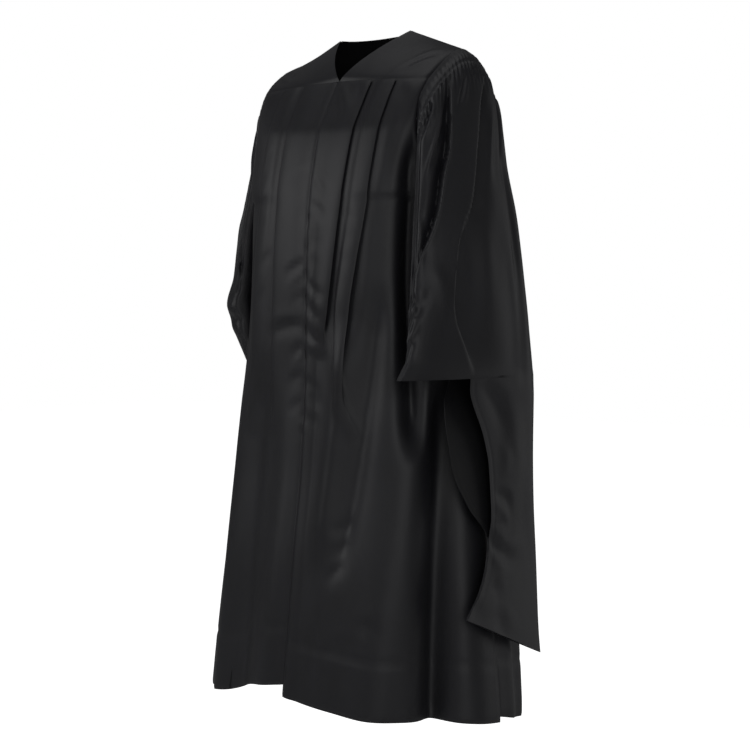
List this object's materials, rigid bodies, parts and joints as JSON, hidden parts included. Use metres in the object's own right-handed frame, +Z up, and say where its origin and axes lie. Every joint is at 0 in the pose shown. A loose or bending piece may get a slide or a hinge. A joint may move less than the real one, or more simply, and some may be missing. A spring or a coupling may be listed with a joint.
{
  "type": "graduation gown",
  "caption": "Full-length black satin graduation gown in its worn form, with flat yokes, knife-pleated fronts, gathered back and long bag sleeves with crescent-cut tails.",
  "frame": {"origin": "midway between the two neck points of the yoke, at the height where the wearer's shoulders carry the gown", "axes": "+Z up; the gown faces -Y; +X is the wearer's left"},
  "size_m": [0.5994, 0.4192, 1.1231],
  "materials": {
    "satin_yoke": "black polyester satin, flat, soft sheen",
    "satin_body": "black polyester satin, pleated and gathered, soft sheen",
    "satin_sleeve": "black polyester satin, gathered head, soft sheen",
    "zip_tape": "matt black woven polyester zip tape"
  },
  "bodies": {
    "root": {"yoke_front_left": "satin_yoke", "yoke_front_right": "satin_yoke", "yoke_back": "satin_yoke", "front_left": "satin_body", "front_right": "satin_body", "back": "satin_body", "sleeve_left": "satin_sleeve", "sleeve_right": "satin_sleeve", "front_zip": "zip_tape"}
  },
  "joints": []
}
